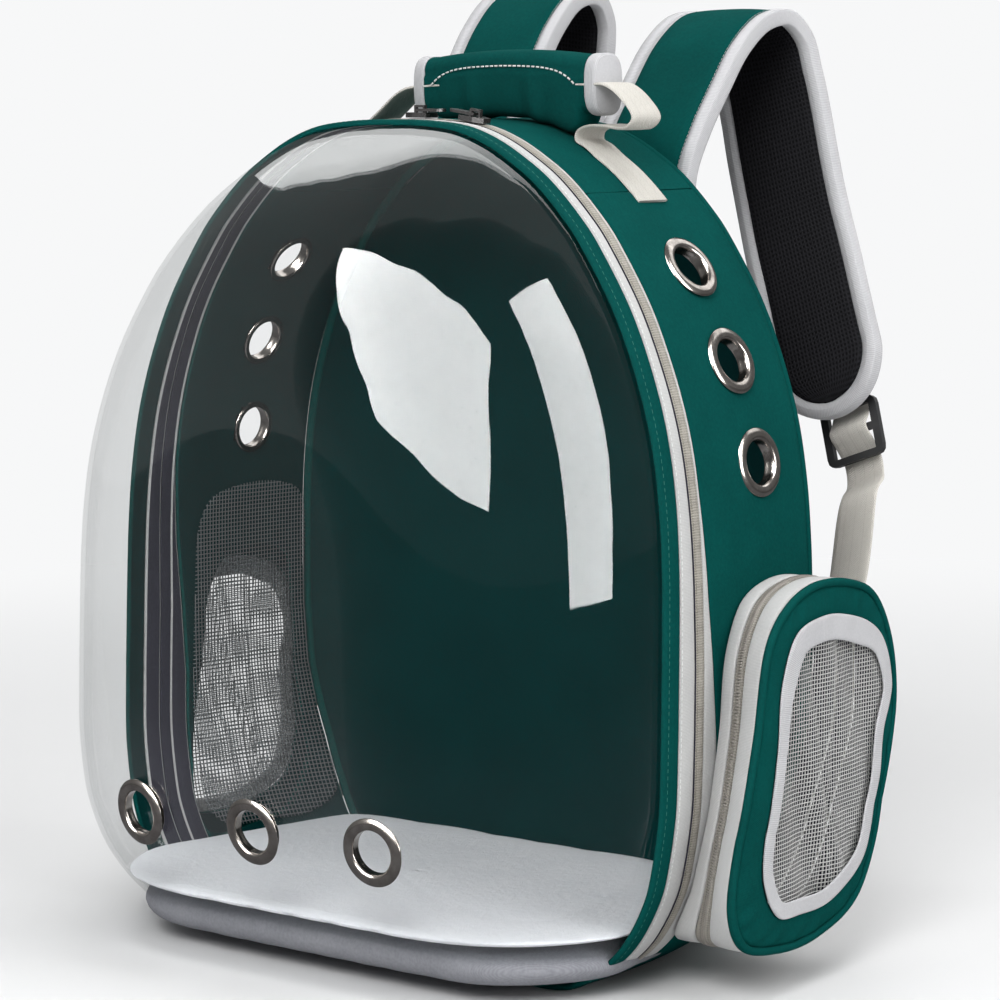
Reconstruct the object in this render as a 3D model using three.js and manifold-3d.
// Bubble pet carrier backpack: clear dome, cloth case, side pockets, handle and shoulder straps.
// Millimetres, +Z up. The dome looks to -Y, the straps hang at +Y, +X is the right side seen
// from the front. The origin is on the floor, under the middle of the flat base.
import * as THREE from 'three';
import Module from 'manifold-3d';
import { mergeVertices } from 'three/addons/utils/BufferGeometryUtils.js';

// Case
const CASE_HEIGHT = 420;
const CASE_HALF_WIDTH = 181.6;
const CASE_DEPTH = 140;
const RIM_LEAN = 0.0377;
const BACK_TAPER = 8;
const BACK_CORNER = 20;
const WALL = 2.5;
const GAP = 0.3;
const SEAM_DROP = 36;
const ZIP_END_HEIGHT = 15;
const PIPING_RADIUS = 2.6;

// Dome
const DOME_DEPTH = 93;
const DOME_WALL = 2.2;
const DOME_FLANGE = 9;
const DOME_SQUARENESS = 5.5;
const DOME_SHOULDER = 1.2;
const DOME_CENTRE_HEIGHT = 187;
const GROMMET_SPACING = 78;
const GROMMET_HEIGHT = 78;

// Main zip
const FRAME_WIDTH = 12;
const TAPE_WIDTH = 12;
const TEETH_WIDTH = 6.5;
const TEETH_PROUD = 0.6;
const SLIDER_LENGTH = 15;
const SLIDER_WIDTH = 9;
const SLIDER_HEIGHT = 3.6;
const SLIDER_LEFT_X = 4;
const SLIDER_RIGHT_X = 40;
const PULL_LENGTH = 16;
const PULL_WIDTH = 5.5;
const PULL_THICKNESS = 1.4;
const POCKET_SLIDER_PLACE = 0.28;

// Eyelets
const EYELET_HOLE = 11;
const EYELET_OUTER = 17;
const EYELET_BARREL = 1.2;
const EYELET_LIP = 1.8;
const EYELET_INNER_LIP = 14.2;

// Pockets
const POCKET_DEPTH = 32;
const LEFT_POCKET_DEPTH = 16;
const FACE_LEVEL = 80;
const POCKET_WALL = 2.2;
const POCKET_SEAT = 0.8;
const POCKET_TOP = 197;
const POCKET_ZIP_WIDTH = 7;
const POCKET_TAPE_SHARE = 0.45;
const POCKET_PIPING = 1.8;
const BINDING_WIDTH = 9;
const WINDOW_SEAM = 2;
const BINDING_THICKNESS = 1.4;
const MESH_THICKNESS = 1;
const OPENING_MARGIN = 11;
const OPENING_SEAT = 1.6;

// Mat
const MAT_TOP_HEIGHT = 38;
const MAT_THICKNESS = 9;
const MAT_CLEARANCE = 0.8;

// Handle
const HANDLE_X = 24;
const HANDLE_Y = 90;
const GRIP_LENGTH = 98;
const GRIP_HEIGHT = 31;
const GRIP_DEPTH = 24;
const GRIP_BINDING = 11;
const WEBBING_WIDTH = 20;
const WEBBING_THICKNESS = 1.5;

// Shoulder straps
const STRAP_WIDTH = 66;
const STRAP_LEFT_LIFT = 14;
const STRAP_BINDING = 9;
const STRAP_FABRIC = 4.5;
const STRAP_MESH = 3.5;
const STRAP_WEBBING = 23;
const BUCKLE_WIDTH = 35;
const BUCKLE_HEIGHT = 32;
const BUCKLE_THICKNESS = 3.2;
const BUCKLE_BAR = 3.6;

// Sample counts
const POCKET_STEPS = 20;
const EYELET_STEPS = 10;
const STRAP_STEPS = 13;

const wasm = await Module();
wasm.setup();

const group = new THREE.Group();
const built = {};
const originY = CASE_DEPTH / 2;

// Colours of the cloth, plastic and metal
const GREEN = { color: 0x0f5248, roughness: 0.85, metalness: 0 };
const TAPE = { color: 0xc6c6c4, roughness: 0.8, metalness: 0 };
const TEETH = { color: 0xa9a79c, roughness: 0.5, metalness: 0 };
const METAL = { color: 0x6d6862, roughness: 0.25, metalness: 1 };
const BLACK = { color: 0x16171a, roughness: 0.9, metalness: 0 };
const PLASTIC = { color: 0x141517, roughness: 0.4, metalness: 0 };
const CLEAR = { color: 0xdfe6e6, roughness: 0.05, metalness: 0, transparent: true, opacity: 0.35 };
const MAT_WHITE = { color: 0xd8dadf, roughness: 0.95, metalness: 0 };
const MAT_GREY = { color: 0x7c7e85, roughness: 0.95, metalness: 0 };
const NET = { color: 0xa6a9ab, roughness: 0.8, metalness: 0 };
const WEB = { color: 0xd6d4ce, roughness: 0.85, metalness: 0 };

function add(name, geometry, look) {
  built[name] = geometry.clone();
  const flat = geometry.index ? geometry.toNonIndexed() : geometry;
  flat.translate(0, -originY, 0);
  flat.computeVertexNormals();
  const mesh = new THREE.Mesh(flat, new THREE.MeshStandardMaterial(look));
  mesh.name = name;
  group.add(mesh);
}

// Closed geometry from a list of triangles of points, turned to face outwards
function closedGeometry(triangles) {
  const keys = new Map();
  const points = [];
  const indexOf = (p) => {
    const key = `${Math.round(p.x * 1e3)},${Math.round(p.y * 1e3)},${Math.round(p.z * 1e3)}`;
    if (!keys.has(key)) {
      keys.set(key, points.length);
      points.push(p);
    }
    return keys.get(key);
  };
  const index = [];
  let volume = 0;
  for (const [a, b, c] of triangles) {
    const i = indexOf(a);
    const j = indexOf(b);
    const k = indexOf(c);
    if (i === j || j === k || i === k) continue;
    index.push(i, j, k);
    volume += points[i].dot(new THREE.Vector3().crossVectors(points[j], points[k]));
  }
  if (volume < 0) {
    for (let i = 0; i < index.length; i += 3) [index[i], index[i + 1]] = [index[i + 1], index[i]];
  }
  const geometry = new THREE.BufferGeometry();
  geometry.setAttribute('position', new THREE.Float32BufferAttribute(points.flatMap((p) => p.toArray()), 3));
  geometry.setIndex(index);
  return geometry;
}

// Solid between two grids of points, grid[i][j], i closed on itself when wrap is set
function shell(outer, inner, wrap) {
  const triangles = [];
  const quad = (a, b, c, d) => triangles.push([a, b, c], [a, c, d]);
  const rows = outer.length;
  const columns = outer[0].length;
  const last = wrap ? rows : rows - 1;
  for (let i = 0; i < last; i += 1) {
    const n = (i + 1) % rows;
    for (let j = 0; j < columns - 1; j += 1) {
      quad(outer[i][j], outer[n][j], outer[n][j + 1], outer[i][j + 1]);
      quad(inner[i][j + 1], inner[n][j + 1], inner[n][j], inner[i][j]);
    }
    quad(inner[i][0], inner[n][0], outer[n][0], outer[i][0]);
    const e = columns - 1;
    quad(outer[i][e], outer[n][e], inner[n][e], inner[i][e]);
  }
  if (!wrap) {
    for (let j = 0; j < columns - 1; j += 1) {
      quad(outer[0][j], outer[0][j + 1], inner[0][j + 1], inner[0][j]);
      const e = rows - 1;
      quad(inner[e][j], inner[e][j + 1], outer[e][j + 1], outer[e][j]);
    }
  }
  return closedGeometry(triangles);
}

// Solid swept by closed sections, sections[i][j], with flat ends unless wrap is set
function sweep(sections, wrap) {
  const triangles = [];
  const rows = sections.length;
  const sides = sections[0].length;
  const last = wrap ? rows : rows - 1;
  for (let i = 0; i < last; i += 1) {
    const n = (i + 1) % rows;
    for (let j = 0; j < sides; j += 1) {
      const k = (j + 1) % sides;
      triangles.push([sections[i][j], sections[n][j], sections[n][k]]);
      triangles.push([sections[i][j], sections[n][k], sections[i][k]]);
    }
  }
  if (!wrap) {
    for (let j = 1; j < sides - 1; j += 1) {
      triangles.push([sections[0][0], sections[0][j], sections[0][j + 1]]);
      const e = sections[rows - 1];
      triangles.push([e[0], e[j + 1], e[j]]);
    }
  }
  return closedGeometry(triangles);
}

function toManifold(geometry) {
  const bare = geometry.clone();
  bare.deleteAttribute('normal');
  bare.deleteAttribute('uv');
  const merged = mergeVertices(bare, 1e-4);
  return new wasm.Manifold(new wasm.Mesh({
    numProp: 3,
    vertProperties: new Float32Array(merged.attributes.position.array),
    triVerts: new Uint32Array(merged.index.array),
  }));
}

function toGeometry(solid) {
  const mesh = solid.getMesh();
  const geometry = new THREE.BufferGeometry();
  geometry.setAttribute('position', new THREE.Float32BufferAttribute(mesh.vertProperties, 3));
  geometry.setIndex(Array.from(mesh.triVerts));
  return geometry;
}

function cut(geometry, tools) {
  let solid = toManifold(geometry);
  for (const tool of tools) solid = solid.subtract(toManifold(tool));
  return toGeometry(solid);
}

const range = (n) => Array.from({ length: n }, (_, i) => i);
const mix = (a, b, t) => a + (b - a) * t;
const mirror = (p, side) => new THREE.Vector3(side * p.x, p.y, p.z);

// Value from a short table of [key, value] pairs
function lookUp(table, key) {
  if (key <= table[0][0]) return table[0][1];
  for (let i = 1; i < table.length; i += 1) {
    const [k, v] = table[i];
    const [k0, v0] = table[i - 1];
    if (key <= k) return mix(v0, v, (key - k0) / (k - k0));
  }
  return table[table.length - 1][1];
}

// Half outline of the case, from the middle of the base up the right side to the crown,
// as shares of the half width and the height
const HALF_OUTLINE = [
  [0, 0], [0.22, 0], [0.44, 0], [0.6, 0], [0.69, 0.004], [0.731, 0.0125], [0.778, 0.024], [0.847, 0.0476],
  [0.894, 0.0714], [0.941, 0.107], [0.97, 0.143], [0.996, 0.214], [1, 0.286], [0.999, 0.357],
  [0.997, 0.429], [0.992, 0.5], [0.978, 0.571], [0.948, 0.643], [0.895, 0.714], [0.818, 0.786],
  [0.709, 0.857], [0.637, 0.893], [0.547, 0.929], [0.469, 0.952], [0.366, 0.976], [0.257, 0.992],
  [0.13, 0.9985], [0, 1],
];
const halfCurve = new THREE.SplineCurve(
  HALF_OUTLINE.map(([x, z]) => new THREE.Vector2(x * CASE_HALF_WIDTH, z * CASE_HEIGHT)),
);
const halfLength = halfCurve.getLength();

function outline(u) {
  const m = ((u % 2) + 2) % 2;
  const side = m <= 1 ? 1 : -1;
  const s = m <= 1 ? m : 2 - m;
  const p = halfCurve.getPointAt(s);
  const t = s < 0.002 || s > 0.998 ? new THREE.Vector2(s < 0.5 ? 1 : -1, 0) : halfCurve.getTangentAt(s);
  return { x: side * p.x, z: Math.max(p.y, 0), nx: side * t.y, nz: -t.x };
}

function outlineAt(height) {
  let low = 0.02;
  let high = 1;
  for (let i = 0; i < 40; i += 1) {
    const mid = (low + high) / 2;
    if (halfCurve.getPointAt(mid).y < height) low = mid;
    else high = mid;
  }
  return (low + high) / 2;
}

// Narrowing of the case towards its back, more at the lower back corners
const CORNER_TABLE = [[0, 1], [0.12, 1], [0.18, 0.75], [0.28, 0.15], [0.36, 0], [1, 0]];
function taper(y, z) {
  const front = 2 * FRAME_WIDTH;
  const back = Math.max((y - front) / (CASE_DEPTH - front), 0);
  const corner = BACK_CORNER * lookUp(CORNER_TABLE, z / CASE_HEIGHT) * back ** 2;
  return 1 - (BACK_TAPER * back ** 1.5 + corner) / CASE_HALF_WIDTH;
}

// Point of the case wall: u round the outline, y across the depth, off outwards from the cloth
function wallPoint(u, y, off) {
  const o = outline(u);
  const low = Math.max(o.z + o.nz * off, 0);
  return new THREE.Vector3((o.x + o.nx * off) * taper(y, o.z), y, low);
}

function halfWidthAt(z, y) {
  return halfCurve.getPointAt(outlineAt(z)).x * taper(y, z);
}

// Widths across the depth, as shares of the height
const TAPE_TABLE = [[0, 1], [0.38, 1], [0.57, 0.75], [0.75, 0.6], [1, 0.6]];
const REAR_TABLE = [[0, 1], [0.29, 1], [0.36, 0.75], [0.46, 0.42], [0.57, 0.2], [1, 0.17]];
const frontOfFrame = (z) => RIM_LEAN * z;
const frontOfTape = (z) => frontOfFrame(z) + FRAME_WIDTH + GAP;
const frontOfTeeth = (z) => frontOfTape(z) + TAPE_WIDTH * lookUp(TAPE_TABLE, z / CASE_HEIGHT) + GAP;
const frontOfRear = (z) => frontOfTeeth(z) + TEETH_WIDTH + GAP;
const frontOfWall = (z) => frontOfRear(z) + TAPE_WIDTH * lookUp(REAR_TABLE, z / CASE_HEIGHT) + GAP;
const wallEnd = CASE_DEPTH - 2 * PIPING_RADIUS - GAP;

// Places round the outline that every ring and panel shares, closer at the corners and the crown
const HALF_RING = [0, 0.1, 0.19, 0.22, 0.25, 0.28, 0.31, 0.35, 0.39, 0.44, 0.5, 0.56, 0.62, 0.67, 0.72, 0.77, 0.82,
  0.87, 0.92, 0.96, 1];
const ring = [...HALF_RING, ...HALF_RING.slice(1, -1).reverse().map((u) => 2 - u)];

function ringBetween(u0, u1) {
  if (u1 - u0 >= 2) return ring;
  const turns = [...ring.map((u) => u - 2), ...ring].filter((u) => u > u0 + 1e-3 && u < u1 - 1e-3);
  return [u0, ...turns, u1];
}

// Strip of the case wall between two u values and two depths
function strip(u0, u1, front, back, off, thickness, rows = 1, side = 1) {
  const wrap = u1 - u0 >= 2;
  const grid = (o) => ringBetween(u0, u1).map((u) => {
    const z = outline(u).z;
    return range(rows + 1).map((j) => mirror(wallPoint(u, mix(front(z), back(z), j / rows), o), side));
  });
  return shell(grid(off), grid(off - thickness), wrap);
}

const zipU = outlineAt(ZIP_END_HEIGHT);
const seamU = outlineAt(CASE_HEIGHT - SEAM_DROP);
const gapU = GAP / halfLength;

// Dome surface: the outline, shrunk towards the dome's middle height, pushed forwards
function domeDepthAt(share) {
  return Math.max(1 - share ** DOME_SQUARENESS, 0) ** (1 / DOME_SHOULDER);
}

function domePoint(u, share, inset, depth) {
  const o = outline(u);
  const x = (o.x - o.nx * inset) * share;
  const z = mix(DOME_CENTRE_HEIGHT, o.z - o.nz * inset, share);
  return new THREE.Vector3(x, frontOfFrame(z) - depth * domeDepthAt(share), z);
}

const DOME_SHARES = [1, 0.975, 0.92, 0.83, 0.68, 0.4, 0];
const domeInset = WALL + GAP;

function domeGrid(inset, depth) {
  return ring.map((u) => {
    const edge = domePoint(u, 1, inset, depth);
    const flange = new THREE.Vector3(edge.x, edge.y + DOME_FLANGE, edge.z);
    return [flange, ...DOME_SHARES.map((share) => domePoint(u, share, inset, depth))];
  });
}

// Depth of the dome's outer face in front of the rim plane at a place in x and z
function domeShareAt(x, z, inset) {
  let low = 0;
  let high = 1.2;
  for (let i = 0; i < 30; i += 1) {
    const share = (low + high) / 2;
    const zo = DOME_CENTRE_HEIGHT + (z - DOME_CENTRE_HEIGHT) / share;
    const xo = Math.abs(x) / share;
    const outside = zo > CASE_HEIGHT - inset || zo < inset
      || xo > halfCurve.getPointAt(outlineAt(Math.min(Math.max(zo, 0.5), CASE_HEIGHT - 0.5))).x - inset;
    if (outside) low = share;
    else high = share;
  }
  return (low + high) / 2;
}

function domeFrontAt(x, z, inset, depth) {
  return frontOfFrame(z) - depth * domeDepthAt(Math.min(domeShareAt(x, z, inset), 1));
}

function domeNormalAt(x, z) {
  const e = 2;
  const y = (a, b) => domeFrontAt(a, b, domeInset, DOME_DEPTH);
  const dx = (y(x + e, z) - y(x - e, z)) / (2 * e);
  const dz = (y(x, z + e) - y(x, z - e)) / (2 * e);
  return new THREE.Vector3(dx, -1, dz).normalize();
}

// Heights of a wall's two faces over a plane, over rings of the given radii
function wallHeights(geometry, centre, normal, radii) {
  const mesh = new THREE.Mesh(geometry, new THREE.MeshBasicMaterial({ side: THREE.DoubleSide }));
  const reach = 4 * EYELET_OUTER;
  const turn = new THREE.Quaternion().setFromUnitVectors(new THREE.Vector3(0, 1, 0), normal);
  let top = -reach;
  let bottom = reach;
  for (const radius of radii) {
    for (let i = 0; i < EYELET_STEPS; i += 1) {
      const a = Math.PI * (0.5 + (2 * i) / EYELET_STEPS);
      const from = new THREE.Vector3(radius * Math.cos(a), 0, radius * Math.sin(a)).applyQuaternion(turn)
        .add(centre).addScaledVector(normal, reach);
      const hits = new THREE.Raycaster(from, normal.clone().negate()).intersectObject(mesh)
        .map((hit) => reach - hit.distance);
      if (hits.length < 2) continue;
      top = Math.max(top, hits[0]);
      bottom = Math.min(bottom, hits[1]);
    }
  }
  return { top, bottom };
}

// Eyelets: two lips joined by a barrel through a round hole of the wall
function eyelet(wall, { centre, normal }) {
  const barrel = EYELET_HOLE + EYELET_BARREL;
  const outerFace = wallHeights(wall, centre, normal, [barrel, (barrel + EYELET_OUTER) / 2, EYELET_OUTER]).top + GAP;
  const inside = wallHeights(wall, centre, normal, [barrel, EYELET_INNER_LIP]).bottom - GAP;
  const profile = [
    [EYELET_HOLE, inside - EYELET_LIP / 2], [EYELET_INNER_LIP, inside - EYELET_LIP / 2],
    [EYELET_INNER_LIP, inside], [barrel, inside], [barrel, outerFace], [EYELET_OUTER, outerFace],
    [mix(barrel, EYELET_OUTER, 0.6), outerFace + EYELET_LIP],
    [EYELET_HOLE, outerFace + EYELET_LIP * 0.7],
  ];
  const sections = range(EYELET_STEPS).map((i) => {
    const a = Math.PI * (0.5 + (2 * i) / EYELET_STEPS);
    return profile.map(([r, h]) => new THREE.Vector3(r * Math.cos(a), h, r * Math.sin(a)));
  });
  return place(sweep(sections, true), centre, normal);
}

function place(geometry, centre, normal) {
  const turn = new THREE.Quaternion().setFromUnitVectors(new THREE.Vector3(0, 1, 0), normal);
  geometry.applyQuaternion(turn);
  return geometry.translate(centre.x, centre.y, centre.z);
}

function eyeletHole(centre, normal) {
  const radius = EYELET_HOLE + EYELET_BARREL + GAP;
  return place(new THREE.CylinderGeometry(radius, radius, 14 * WALL, EYELET_STEPS), centre, normal);
}

// Eyelet places on the side walls, as shares of the depth and the height
const SIDE_EYELETS = [[0.622, 0.826], [0.634, 0.719], [0.664, 0.602]];

function sideEyelet(side, [depthShare, heightShare]) {
  const y = depthShare * CASE_DEPTH;
  const u = outlineAt(heightShare * CASE_HEIGHT);
  const o = outline(u);
  const p = wallPoint(u, y, 0);
  return {
    centre: new THREE.Vector3(side * p.x, p.y, p.z),
    normal: new THREE.Vector3(side * o.nx, 0, o.nz).normalize(),
  };
}

// Pocket outlines as shares of the case depth and the pocket top: at the wall and at the face
const POCKET_BASE = [
  [0.64, 0.995], [0.83, 0.99], [0.945, 0.934], [0.98, 0.812], [0.98, 0.635], [0.965, 0.457],
  [0.925, 0.284], [0.786, 0.162], [0.571, 0.122], [0.357, 0.112], [0.262, 0.152], [0.25, 0.279],
  [0.286, 0.457], [0.343, 0.65], [0.386, 0.838], [0.486, 0.954],
];
const POCKET_FACE = [
  [0.63, 1], [0.87, 0.99], [1.05, 0.943], [1.17, 0.82], [1.205, 0.665], [1.14, 0.47],
  [1.07, 0.305], [0.93, 0.176], [0.66, 0.115], [0.4, 0.112], [0.19, 0.15], [0.12, 0.245],
  [0.165, 0.43], [0.25, 0.66], [0.335, 0.88], [0.46, 0.962],
];
// Outline of the binding round the window in the face of the deeper pocket
const POCKET_WINDOW = [
  [0.66, 0.915], [0.83, 0.907], [0.98, 0.88], [1.1, 0.82], [1.158, 0.7], [1.095, 0.585],
  [1.06, 0.43], [0.97, 0.275], [0.75, 0.2], [0.54, 0.19], [0.385, 0.203], [0.3, 0.3],
  [0.33, 0.47], [0.372, 0.62], [0.398, 0.77], [0.49, 0.885],
];
// Outline of the mesh that lines the lower side wall, in the same shares
const INNER_MESH = [
  [0.6, 1.12], [0.8, 1.12], [0.925, 1.08], [0.945, 0.8], [0.945, 0.6], [0.94, 0.4], [0.93, 0.24],
  [0.8, 0.19], [0.6, 0.185], [0.42, 0.19], [0.36, 0.23], [0.355, 0.4], [0.36, 0.6], [0.375, 0.8],
  [0.4, 1.02], [0.46, 1.09],
];
const toPocketCurve = (table) => new THREE.CatmullRomCurve3(
  table.map(([y, z]) => new THREE.Vector3(0, y * CASE_DEPTH, z * POCKET_TOP)), true,
);
const pocketBase = toPocketCurve(POCKET_BASE);
const pocketFace = toPocketCurve(POCKET_FACE);
const pocketWindow = toPocketCurve(POCKET_WINDOW);
const innerMesh = toPocketCurve(INNER_MESH);

// Loop of points moved inwards by inset
function insetLoop(points, inset) {
  return points.map((p, i) => {
    const before = points[(i + POCKET_STEPS - 1) % POCKET_STEPS];
    const after = points[(i + 1) % POCKET_STEPS];
    const along = after.clone().sub(before).normalize();
    return new THREE.Vector3(0, p.y + along.z * inset, p.z - along.y * inset);
  });
}

// Loop of (y, z) points between base and face outlines, and that of the window in a face there
const loopSteps = range(POCKET_STEPS).map((i) => i / POCKET_STEPS);
const pocketPoints = (share) => loopSteps.map((t) => pocketBase.getPoint(t).lerp(pocketFace.getPoint(t), share));
const pocketLoop = (share, inset) => insetLoop(pocketPoints(share), inset);
const windowLoop = (share, inset) => insetLoop(pocketPoints(share).map(
  (p, i) => p.add(pocketWindow.getPoint(loopSteps[i])).sub(pocketFace.getPoint(loopSteps[i])),
), inset);

// Pocket point at a height over the wall: the face stands upright where the wall curves in
function pocketPoint(side, p, height) {
  const share = Math.min(Math.max(height / POCKET_DEPTH, 0), 1);
  const upright = halfCurve.getPointAt(outlineAt(Math.max(p.z, FACE_LEVEL))).x * taper(p.y, CASE_HEIGHT);
  return new THREE.Vector3(side * (mix(halfWidthAt(p.z, p.y), upright, share) + height), p.y, p.z);
}

function pocketRing(side, from, to, inset0, inset1, low, high) {
  const grid = (inset) => {
    const a = pocketLoop(from, inset);
    const b = pocketLoop(to, inset);
    return range(POCKET_STEPS).map((i) => [pocketPoint(side, a[i], low), pocketPoint(side, b[i], high)]);
  };
  return shell(grid(inset0), grid(inset1), true);
}

// Plate between two heights over the wall, from an outer loop to an inner one or to its middle
function pocketPlate(side, outer, hole, low, high) {
  const inner = hole ?? outer.map(
    () => outer.reduce((s, p) => s.add(p), new THREE.Vector3()).divideScalar(POCKET_STEPS),
  );
  const rings = hole ? [0, 1] : [0, 0.45, 1];
  const grid = (height) => range(POCKET_STEPS)
    .map((i) => rings.map((t) => pocketPoint(side, outer[i].clone().lerp(inner[i], t), height)));
  return shell(grid(high), grid(low), true);
}

// Frame at a place of a curve: along, across (near +X) and the side normal
function curveFrame(curve, s) {
  const along = curve.getTangentAt(Math.min(Math.max(s, 0), 1));
  const across = new THREE.Vector3(1, 0, 0);
  across.addScaledVector(along, -across.dot(along)).normalize();
  return { point: curve.getPointAt(Math.min(Math.max(s, 0), 1)), along, across, normal: along.clone().cross(across) };
}


// Ribbon of flat section along a curve whose width lies along a fixed direction
function ribbon(points, width, thickness, across, perSpan, side = 1) {
  const steps = (points.length - 1) * perSpan;
  const curve = new THREE.CatmullRomCurve3(points, false, 'centripetal');
  const sections = range(steps + 1).map((i) => {
    const along = curve.getTangent(i / steps);
    const wide = across.clone().addScaledVector(along, -across.dot(along)).normalize();
    const up = along.clone().cross(wide);
    const p = curve.getPoint(i / steps);
    return [[1, 1], [-1, 1], [-1, -1], [1, -1]].map(([a, b]) => mirror(p.clone()
      .addScaledVector(wide, (a * width) / 2).addScaledVector(up, (b * thickness) / 2), side));
  });
  return sweep(sections, false);
}

// Dome, its green frame and the grommets
const grommets = [-1, 0, 1].map((k) => {
  const x = k * GROMMET_SPACING;
  const y = domeFrontAt(x, GROMMET_HEIGHT, domeInset, DOME_DEPTH);
  return { centre: new THREE.Vector3(x, y, GROMMET_HEIGHT), normal: domeNormalAt(x, GROMMET_HEIGHT) };
});
const domeSolid = shell(
  domeGrid(domeInset, DOME_DEPTH),
  domeGrid(domeInset + DOME_WALL, DOME_DEPTH - DOME_WALL),
  true,
);
add('dome', cut(domeSolid, grommets.map((g) => eyeletHole(g.centre, g.normal))), CLEAR);
['left', 'middle', 'right'].forEach((name, i) => {
  add(`dome_grommet_${name}`, eyelet(domeSolid, grommets[i]), METAL);
});
add('dome_frame', strip(0, 2, frontOfFrame, (z) => frontOfFrame(z) + FRAME_WIDTH, 0, WALL), GREEN);

// Main zip
const zipArgs = [zipU, 2 - zipU];
add('zip_tape_front', strip(...zipArgs, frontOfTape, (z) => frontOfTeeth(z) - GAP, 0, WALL), TAPE);
add('zip_teeth', strip(...zipArgs, frontOfTeeth, (z) => frontOfRear(z) - GAP, TEETH_PROUD, WALL), TEETH);
add('zip_tape_rear', strip(...zipArgs, frontOfRear, (z) => frontOfWall(z) - GAP, 0, WALL), TAPE);

// Case panels
const wallBack = () => wallEnd;
add('base_panel', strip(-zipU + gapU, zipU - gapU, frontOfTape, wallBack, 0, WALL, 2), GREEN);
add('top_panel', strip(seamU + gapU, 2 - seamU - gapU, frontOfWall, wallBack, 0, WALL, 2), GREEN);

const openingLoop = pocketLoop(0, OPENING_MARGIN);
function openingTool(side) {
  const grid = (x) => openingLoop.map((p) => [new THREE.Vector3(side * x, p.y, p.z)]);
  const outer = grid(CASE_HALF_WIDTH + WALL);
  const inner = grid(CASE_HALF_WIDTH * 0.7);
  const middle = openingLoop.reduce((s, p) => s.add(p), new THREE.Vector3()).divideScalar(POCKET_STEPS);
  outer.forEach((row) => row.push(new THREE.Vector3(side * (CASE_HALF_WIDTH + WALL), middle.y, middle.z)));
  inner.forEach((row) => row.push(new THREE.Vector3(side * CASE_HALF_WIDTH * 0.7, middle.y, middle.z)));
  return shell(outer, inner, true);
}

[['left', -1], ['right', 1]].forEach(([name, side]) => {
  const eyelets = SIDE_EYELETS.map((place) => sideEyelet(side, place));
  const panel = strip(2 - seamU + gapU, 2 - zipU - gapU, frontOfWall, wallBack, 0, WALL, 3, -side);
  const tools = [...eyelets.map((e) => eyeletHole(e.centre, e.normal)), openingTool(side)];
  add(`side_panel_${name}`, cut(panel, tools), GREEN);
  eyelets.forEach((e, i) => {
    add(`side_eyelet_${name}_${['top', 'middle', 'low'][i]}`, eyelet(panel, e), METAL);
  });
});

// Back panel and the piping round the back edge
const pipingY = CASE_DEPTH - PIPING_RADIUS;
const backLoop = (y, inset) => ring.map((u) => [
  wallPoint(u, y, -inset), new THREE.Vector3(0, y, CASE_HEIGHT / 2),
]);
const backInset = 2 * PIPING_RADIUS + 4 * GAP;
add('back_panel', shell(
  backLoop(pipingY + WALL / 2, backInset),
  backLoop(pipingY - WALL / 2, backInset),
  true,
), GREEN);
add('back_piping', sweep(ring.map((u) => {
  const o = outline(u);
  return range(4).map((j) => {
    const a = (2 * Math.PI * (j + 0.5)) / 4;
    const r = PIPING_RADIUS * Math.cos(a) - PIPING_RADIUS;
    return new THREE.Vector3(
      (o.x + o.nx * r) * taper(CASE_DEPTH, o.z), pipingY + PIPING_RADIUS * Math.sin(a), o.z + o.nz * r,
    );
  });
}), true), GREEN);

// Directions of the mat's corners, in degrees round its middle
const MAT_ANGLES = [0, 11, 21, 27, 40, 65, 90, 115, 140, 153, 159, 169, 180, 192, 201, 208, 216, 225, 235,
  246, 258, 270, 282, 294, 305, 315, 324, 332, 339, 348];

// Side pockets
[['left', -1, LEFT_POCKET_DEPTH], ['right', 1, POCKET_DEPTH]].forEach(([name, side, faceHigh]) => {
  const faceLow = faceHigh - POCKET_WALL;
  const gussetTop = faceLow - GAP;
  const zipLow = (gussetTop - POCKET_ZIP_WIDTH) * POCKET_TAPE_SHARE;
  const zipHigh = zipLow + POCKET_ZIP_WIDTH;
  const at = (height) => height / POCKET_DEPTH;
  const full = at(faceHigh);
  const loop = (low, high, proud) => pocketRing(side, at(low), at(high), -proud, POCKET_WALL, low, high);
  const gussetEnd = gussetTop - GAP;
  add(`pocket_tape_inner_${name}`, loop(POCKET_SEAT, zipLow - GAP, 0), TAPE);
  add(`pocket_zip_${name}`, loop(zipLow, zipHigh - GAP, 0.5), TEETH);
  add(`pocket_tape_outer_${name}`, loop(zipHigh, gussetEnd, 0), TAPE);
  add(`pocket_face_${name}`, pocketPlate(
    side, pocketLoop(full, 2 * POCKET_PIPING), windowLoop(full, WINDOW_SEAM), faceLow, faceHigh,
  ), GREEN);
  add(`pocket_piping_${name}`, pocketPlate(
    side, pocketLoop(full, -0.4), pocketLoop(full, 2 * POCKET_PIPING - GAP), faceLow, faceHigh + 0.8,
  ), GREEN);
  const bindingLow = faceHigh + 2 * GAP;
  add(`window_binding_${name}`, pocketPlate(
    side, windowLoop(full, 0), windowLoop(full, BINDING_WIDTH), bindingLow, bindingLow + BINDING_THICKNESS,
  ), TAPE);
  add(`window_mesh_${name}`, pocketPlate(
    side, windowLoop(full, WINDOW_SEAM + GAP), null, faceHigh - MESH_THICKNESS, faceHigh,
  ), NET);
  add(`inner_mesh_${name}`, pocketPlate(
    side, loopSteps.map((t) => innerMesh.getPoint(t)), null,
    -WALL - OPENING_SEAT - MESH_THICKNESS, -WALL - OPENING_SEAT,
  ), BLACK);
});

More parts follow.
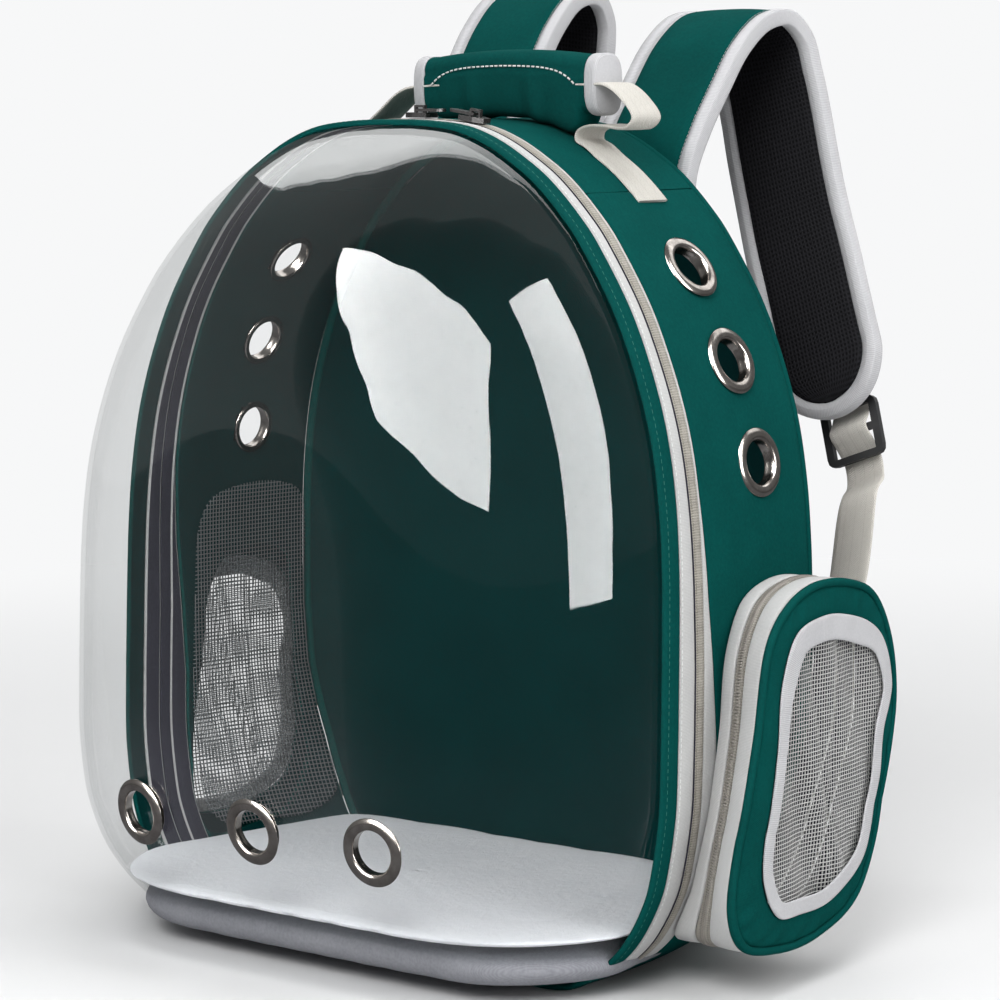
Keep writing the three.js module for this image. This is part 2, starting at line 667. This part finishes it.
// Mat and cushion: slices of the room inside the case, measured outwards from its middle
const roomNames = ['dome', 'dome_frame', 'zip_tape_front', 'zip_teeth', 'zip_tape_rear', 'base_panel',
  'side_panel_left', 'side_panel_right', 'back_panel', 'back_piping', 'inner_mesh_left', 'inner_mesh_right'];
const liner = strip(0, 2, frontOfFrame, () => CASE_DEPTH, -domeInset, DOME_WALL);
const roomWalls = [liner, ...roomNames.map((name) => built[name])].map((geometry) => new THREE.Mesh(
  geometry, new THREE.MeshBasicMaterial({ side: THREE.DoubleSide }),
));
function roomSlice(z, clearance) {
  const middle = new THREE.Vector3(0, CASE_DEPTH * 0.45, z);
  return MAT_ANGLES.map((degrees) => {
    const a = (degrees * Math.PI) / 180;
    const outwards = new THREE.Vector3(Math.cos(a), Math.sin(a), 0);
    const [hit] = [-2, 0, 2].flatMap((k) => new THREE.Raycaster(
      middle.clone().setZ(z + k * GAP), outwards,
    ).intersectObjects(roomWalls)).sort((p, q) => p.distance - q.distance);
    const slant = Math.max(Math.abs(hit.face.normal.dot(outwards)), 0.15);
    return middle.clone().addScaledVector(outwards, hit.distance - clearance / slant);
  });
}
const slab = (heights, clearance) => sweep(heights.map((z) => roomSlice(z, clearance)), false);
const matBottom = MAT_TOP_HEIGHT - MAT_THICKNESS;
const cushionBottom = domeInset + DOME_WALL + 2 * MAT_CLEARANCE;
add('mat', slab([matBottom, (matBottom + MAT_TOP_HEIGHT) / 2, MAT_TOP_HEIGHT], MAT_CLEARANCE), MAT_WHITE);
add('base_cushion', slab(
  [cushionBottom, mix(cushionBottom, matBottom, 0.2), mix(cushionBottom, matBottom, 0.5), matBottom - GAP],
  MAT_CLEARANCE,
), MAT_GREY);

// Handle: padded grip over a webbing that is sewn down at both ends
const topAt = (x) => {
  let low = seamU;
  let high = 1;
  for (let i = 0; i < 30; i += 1) {
    const mid = (low + high) / 2;
    if (halfCurve.getPointAt(mid).x > Math.abs(x)) low = mid;
    else high = mid;
  }
  return halfCurve.getPointAt(low).y;
};
const gripZ = CASE_HEIGHT + GAP + GRIP_HEIGHT / 2 + 0.7;
function gripPart(x0, x1, steps, grow) {
  const sections = range(steps + 1).map((i) => {
    const x = mix(x0, x1, i / steps);
    const share = (x - HANDLE_X) / (GRIP_LENGTH / 2);
    const arch = 3 * (1 - share * share);
    const swell = 1 + 0.08 * (1 - share * share);
    return range(10).map((j) => {
      const a = (2 * Math.PI * j) / 10;
      return new THREE.Vector3(
        x,
        HANDLE_Y + (GRIP_DEPTH / 2 + grow) * swell * Math.cos(a),
        gripZ + Math.max(arch, 0) + (GRIP_HEIGHT / 2 + grow) * Math.sin(a),
      );
    });
  });
  return sweep(sections, false);
}
const gripEnd = GRIP_LENGTH / 2;
const slot = (x0, x1) => new THREE.BoxGeometry(x1 - x0, WEBBING_WIDTH + 2 * GAP, WEBBING_THICKNESS + 8 * GAP)
  .translate((x0 + x1) / 2, HANDLE_Y, gripZ);
add('handle_grip', cut(
  gripPart(HANDLE_X - gripEnd, HANDLE_X + gripEnd, 8, 0),
  [slot(HANDLE_X - gripEnd - 3, HANDLE_X + gripEnd + 3)],
), GREEN);
add('handle_binding_left', cut(
  gripPart(HANDLE_X - gripEnd - GAP - GRIP_BINDING, HANDLE_X - gripEnd - GAP, 1, 0.6),
  [slot(HANDLE_X - gripEnd - GRIP_BINDING - 3, HANDLE_X - gripEnd + 3)],
), TAPE);
add('handle_binding_right', cut(
  gripPart(HANDLE_X + gripEnd + GAP, HANDLE_X + gripEnd + GAP + GRIP_BINDING, 1, 0.6),
  [slot(HANDLE_X + gripEnd - 3, HANDLE_X + gripEnd + GRIP_BINDING + 3)],
), TAPE);
const depthwise = new THREE.Vector3(0, 1, 0);
// Point of the handle webbing lying on the case's top, or a lift over it
const topWalls = ['top_panel', 'side_panel_left', 'side_panel_right'].map((name) => new THREE.Mesh(built[name]));
function onTop(x, lift) {
  const hits = [-0.5, 0, 0.5].map((share) => new THREE.Raycaster(
    new THREE.Vector3(x, HANDLE_Y + share * WEBBING_WIDTH, 2 * CASE_HEIGHT), new THREE.Vector3(0, 0, -1),
  ).intersectObjects(topWalls)[0]);
  const heights = hits.map((hit) => hit.point.z + (WEBBING_THICKNESS / 2 + GAP) / hit.face.normal.z);
  return new THREE.Vector3(x, HANDLE_Y, Math.max(...heights) + lift);
}
const rightStart = HANDLE_X + gripEnd + GRIP_BINDING - 6;
const leftStart = HANDLE_X - gripEnd - GRIP_BINDING + 6;
add('handle_webbing', ribbon([
  ...range(4).map((i) => onTop(leftStart - 72 + i * 4.5, 0.15)),
  onTop(leftStart - 48, 6),
  new THREE.Vector3(leftStart - 32, HANDLE_Y, gripZ - 14),
  new THREE.Vector3(leftStart - 14, HANDLE_Y, gripZ - 2),
  new THREE.Vector3(leftStart, HANDLE_Y, gripZ),
  new THREE.Vector3(HANDLE_X, HANDLE_Y, gripZ),
  new THREE.Vector3(rightStart, HANDLE_Y, gripZ),
  new THREE.Vector3(rightStart + 13, HANDLE_Y, gripZ - 1),
  new THREE.Vector3(rightStart + 27, HANDLE_Y, gripZ - 12),
  new THREE.Vector3(rightStart + 32, HANDLE_Y, gripZ - 20),
  new THREE.Vector3(rightStart + 27, HANDLE_Y, gripZ - 25),
  new THREE.Vector3(rightStart + 12, HANDLE_Y, gripZ - 24.5),
  new THREE.Vector3(rightStart + 1, HANDLE_Y, gripZ - 25),
  new THREE.Vector3(rightStart - 4, HANDLE_Y, gripZ - 29),
  onTop(rightStart - 1, 3.5),
  onTop(rightStart + 6, 0.8),
  ...range(6).map((i) => onTop(rightStart + 12 + i * 4.2, 0.15)),
], WEBBING_WIDTH, WEBBING_THICKNESS, depthwise, 2), WEB);

// Shoulder straps: centre line as shares of half width, depth past the back, and height
const backY = CASE_DEPTH;
const strapTop = STRAP_FABRIC + GAP;
const STRAP_PATH = [
  [0.335, -0.013, 0.886], [0.335, 0.006, 0.933], [0.335, 0.09, 0.983], [0.338, 0.2, 1.033], [0.342, 0.32, 1.082],
  [0.348, 0.46, 1.114], [0.355, 0.59, 1.117], [0.368, 0.675, 1.09], [0.385, 0.7, 1.045], [0.41, 0.7, 1],
  [0.445, 0.685, 0.945], [0.505, 0.66, 0.862], [0.575, 0.62, 0.79], [0.645, 0.575, 0.717], [0.695, 0.535, 0.669],
  [0.73, 0.51, 0.628],
];
// The left strap arches a little higher than the right one
const STRAP_LIFT = [[0, 0], [0.15, 0.5], [0.35, 1], [0.5, 1], [0.85, 0], [1, 0]];
const strapCurves = [1, -1].map((side) => new THREE.CatmullRomCurve3(STRAP_PATH.map(([x, y, z], i) => {
  const lift = side < 0 ? STRAP_LEFT_LIFT * lookUp(STRAP_LIFT, i / (STRAP_PATH.length - 1)) : 0;
  return new THREE.Vector3(
    x * CASE_HALF_WIDTH, backY + strapTop + 1 + y * CASE_DEPTH, z * CASE_HEIGHT + lift,
  );
}), false, 'centripetal'));
const strapCurve = strapCurves[0];

const strapOf = (side) => strapCurves[side > 0 ? 0 : 1];

function strapPoint(side, s, c, h) {
  const curve = strapOf(side);
  const f = curveFrame(curve, s / curve.getLength());
  return mirror(f.point.clone().addScaledVector(f.across, c).addScaledVector(f.normal, h), side);
}

// Half width of the strap's plan at a length along it, rounded at the lower end
function strapHalf(s, inset, strapLength) {
  const half = STRAP_WIDTH / 2 - inset;
  const end = strapLength - inset;
  const round = STRAP_WIDTH / 2 - inset;
  const left = (end - s) / round;
  if (left >= 1) return half;
  return half * Math.sqrt(Math.max(1 - (1 - left) ** 2, 0.02));
}

function strapLayer(side, low, high) {
  const strapLength = strapOf(side).getLength();
  const inset = STRAP_BINDING + 3 * GAP;
  const lengths = range(STRAP_STEPS).map((i) => (strapLength - inset - STRAP_WIDTH / 3) * (i / (STRAP_STEPS - 1)));
  [0.72, 0.86, 0.95, 0.995].forEach((k) => {
    lengths.push(mix(strapLength - inset - STRAP_WIDTH / 3, strapLength - inset, k));
  });
  const grid = (h) => lengths.map((s) => [-1, 0, 1].map((c) => strapPoint(side, s, c * strapHalf(s, inset, strapLength), h)));
  return shell(grid(high), grid(low), false);
}

function strapBinding(side, low, high) {
  const strapLength = strapOf(side).getLength();
  const straight = strapLength - STRAP_WIDTH / 2;
  const steps = STRAP_STEPS - 2;
  const edge = (inset) => {
    const half = STRAP_WIDTH / 2 - inset;
    return [
      ...range(steps).map((i) => [(straight * i) / steps, -half]),
      ...range(9).map((i) => {
        const a = (Math.PI * i) / 8;
        return [straight + half * Math.sin(a), -half * Math.cos(a)];
      }),
      ...range(steps).map((i) => [straight * (1 - (i + 1) / steps), half]),
    ];
  };
  const outer = edge(0);
  const inner = edge(STRAP_BINDING);
  const grid = (h) => outer.map((p, i) => [
    strapPoint(side, p[0], p[1], h), strapPoint(side, inner[i][0], inner[i][1], h),
  ]);
  return shell(grid(high), grid(low), false);
}

// Buckle with two slots, and the webbing threaded through it down to the lower corner
const buckleFrame = curveFrame(strapCurve, 1);
const buckleCentre = buckleFrame.point.clone()
  .addScaledVector(buckleFrame.along, BUCKLE_HEIGHT * 0.2)
  .addScaledVector(buckleFrame.normal, -(STRAP_FABRIC + 2 * BUCKLE_THICKNESS + 3));

function buckle(side) {
  const shape = new THREE.Shape();
  const w = BUCKLE_WIDTH / 2;
  const h = BUCKLE_HEIGHT / 2;
  const r = 5;
  shape.moveTo(-w + r, -h);
  shape.lineTo(w - r, -h);
  shape.quadraticCurveTo(w, -h, w, -h + r);
  shape.lineTo(w, h - r);
  shape.quadraticCurveTo(w, h, w - r, h);
  shape.lineTo(-w + r, h);
  shape.quadraticCurveTo(-w, h, -w, h - r);
  shape.lineTo(-w, -h + r);
  shape.quadraticCurveTo(-w, -h, -w + r, -h);
  const slotHalf = STRAP_WEBBING / 2 + 1.5;
  const bars = [[BUCKLE_BAR / 2, h - BUCKLE_BAR], [-h + BUCKLE_BAR, -BUCKLE_BAR / 2]];
  bars.forEach(([z0, z1]) => {
    const hole = new THREE.Path();
    hole.moveTo(-slotHalf, z0);
    hole.lineTo(-slotHalf, z1);
    hole.lineTo(slotHalf, z1);
    hole.lineTo(slotHalf, z0);
    hole.closePath();
    shape.holes.push(hole);
  });
  const geometry = new THREE.ExtrudeGeometry(shape, {
    depth: BUCKLE_THICKNESS, bevelEnabled: false, curveSegments: 3,
  });
  geometry.translate(0, 0, -BUCKLE_THICKNESS / 2);
  const basis = new THREE.Matrix4().makeBasis(
    buckleFrame.across, buckleFrame.along.clone().negate(), buckleFrame.across.clone()
      .cross(buckleFrame.along.clone().negate()),
  );
  geometry.applyMatrix4(basis);
  geometry.translate(buckleCentre.x, buckleCentre.y, buckleCentre.z);
  const bare = geometry.clone();
  bare.deleteAttribute('normal');
  bare.deleteAttribute('uv');
  const merged = mergeVertices(bare, 1e-4);
  const position = merged.attributes.position;
  const points = range(position.count).map((i) => mirror(new THREE.Vector3().fromBufferAttribute(position, i), side));
  const index = merged.index.array;
  return closedGeometry(range(index.length / 3).map((i) => [
    points[index[3 * i]], points[index[3 * i + 1]], points[index[3 * i + 2]],
  ]));
}

const buckleRelative = (down, out) => buckleCentre.clone()
  .addScaledVector(buckleFrame.along, down).addScaledVector(buckleFrame.normal, out);
const clear = BUCKLE_THICKNESS / 2 + WEBBING_THICKNESS / 2 + 2.4;
const barStep = (BUCKLE_HEIGHT - BUCKLE_BAR) / 2;
const slotStep = barStep / 2;
// Lower run of the webbing, as shares of half width, depth past the back, and height
const WEBBING_PATH = [
  [0.83, 0.5, 0.53], [0.835, 0.42, 0.43], [0.83, 0.25, 0.27], [0.8, 0.05, 0.17], [0.785, 0, 0.135],
  [0.775, -0.008, 0.1],
];

[['left', -1], ['right', 1]].forEach(([name, side]) => {
  add(`strap_fabric_${name}`, strapLayer(side, -STRAP_FABRIC, -GAP / 2), GREEN);
  add(`strap_mesh_${name}`, strapLayer(side, GAP / 2, STRAP_MESH), BLACK);
  add(`strap_binding_${name}`, strapBinding(side, -STRAP_FABRIC - 0.5, STRAP_MESH + 0.5), TAPE);
  add(`strap_buckle_${name}`, buckle(side), PLASTIC);
  add(`strap_webbing_${name}`, ribbon([
    buckleRelative(-BUCKLE_HEIGHT * 0.95, -clear + 1.5),
    buckleRelative(-barStep - 3, -clear),
    buckleRelative(-slotStep, 0),
    buckleRelative(0, clear),
    buckleRelative(slotStep, 0),
    buckleRelative(barStep + 1, -clear),
    buckleRelative(barStep + 12, -clear + 1),
    ...WEBBING_PATH.map(([x, y, z]) => new THREE.Vector3(
      x * CASE_HALF_WIDTH, backY + WEBBING_THICKNESS + y * CASE_DEPTH, z * CASE_HEIGHT,
    )),
  ], STRAP_WEBBING, WEBBING_THICKNESS, buckleFrame.across, 3, side), WEB);
});

// Zip slider with a bail, and its pull tab, lying towards local +X; local Z points off the zip
const sliderTop = SLIDER_HEIGHT - 1 + GAP;
const pullLift = GAP + 0.2;
const BAIL_HALF = 3.4;
const BAIL_HEIGHT = 3.7;
const BAIL_BAR = 1.15;
function addZipSlider(ends, frame) {
  const body = new THREE.ExtrudeGeometry(new THREE.Shape([
    [-0.5, -0.3], [-0.1, -0.5], [0.5, -0.5], [0.5, 0.5], [-0.1, 0.5], [-0.5, 0.3],
  ].map(([a, b]) => new THREE.Vector2(a * SLIDER_LENGTH, b * SLIDER_WIDTH))), {
    depth: SLIDER_HEIGHT - 1, bevelEnabled: false,
  }).translate(0, 0, GAP);
  const inner = BAIL_HALF - BAIL_BAR;
  const under = BAIL_HEIGHT - BAIL_BAR;
  const bail = new THREE.ExtrudeGeometry(new THREE.Shape([
    [-BAIL_HALF, -0.2], [-BAIL_HALF, BAIL_HEIGHT], [BAIL_HALF, BAIL_HEIGHT], [BAIL_HALF, -0.2],
    [inner, -0.2], [inner, under], [-inner, under], [-inner, -0.2],
  ].map(([a, b]) => new THREE.Vector2(a, b))), { depth: 2, bevelEnabled: false });
  bail.rotateX(Math.PI / 2).translate(0, 1, sliderTop);
  add(`zip_slider_${ends}`, toGeometry(toManifold(body).add(toManifold(bail))).applyMatrix4(frame), METAL);
  const w = PULL_WIDTH / 2;
  const bar = PULL_THICKNESS / 2;
  const tab = new THREE.Shape();
  tab.moveTo(-bar, -w);
  tab.lineTo(PULL_LENGTH - w, -w);
  tab.quadraticCurveTo(PULL_LENGTH, -w, PULL_LENGTH, 0);
  tab.quadraticCurveTo(PULL_LENGTH, w, PULL_LENGTH - w, w);
  tab.lineTo(-bar, w);
  tab.closePath();
  const reach = Math.hypot(BAIL_HALF, BAIL_HEIGHT - pullLift - bar) + 2 * GAP;
  tab.holes.push(new THREE.Path([
    [bar, -1.4], [reach, -1.4], [reach, 1.4], [bar, 1.4],
  ].map(([a, b]) => new THREE.Vector2(a, b))));
  const pull = new THREE.ExtrudeGeometry(tab, { depth: PULL_THICKNESS, bevelEnabled: false, curveSegments: 4 });
  pull.translate(0, 0, sliderTop + pullLift);
  add(`zip_pull_${ends}`, pull.applyMatrix4(frame), METAL);
}

// Sliders at the crown, their pulls lying towards each other
[['left', SLIDER_LEFT_X, 1], ['right', SLIDER_RIGHT_X, -1]].forEach(([name, x, towards]) => {
  const z = topAt(x);
  const along = new THREE.Vector3(8 * towards, 0, towards * (topAt(x + 4) - topAt(x - 4))).normalize();
  const across = new THREE.Vector3(0, towards, 0);
  const frame = new THREE.Matrix4().makeBasis(along, across, along.clone().cross(across));
  frame.setPosition(x, frontOfTeeth(z) + TEETH_WIDTH / 2, z + TEETH_PROUD);
  addZipSlider(name, frame);
});

// Slider at the back of each pocket, its pull hanging down
[['left', -1, LEFT_POCKET_DEPTH], ['right', 1, POCKET_DEPTH]].forEach(([name, side, depth]) => {
  const gussetTop = depth - POCKET_WALL - GAP;
  const mid = (gussetTop - POCKET_ZIP_WIDTH) * POCKET_TAPE_SHARE + POCKET_ZIP_WIDTH / 2;
  const i = Math.round(POCKET_STEPS * POCKET_SLIDER_PLACE);
  const at = (k, height) => pocketPoint(side, pocketLoop(height / POCKET_DEPTH, 0)[k], height);
  const point = at(i, mid);
  const along = at(i + 1, mid).sub(at(i - 1, mid)).normalize();
  const across = at(i, mid + 3).sub(at(i, mid - 3)).multiplyScalar(-side);
  across.addScaledVector(along, -across.dot(along)).normalize();
  const off = along.clone().cross(across);
  point.addScaledVector(off, TEETH_PROUD + 0.5);
  addZipSlider(`pocket_${name}`, new THREE.Matrix4().makeBasis(along, across, off).setPosition(point));
});

export default group;
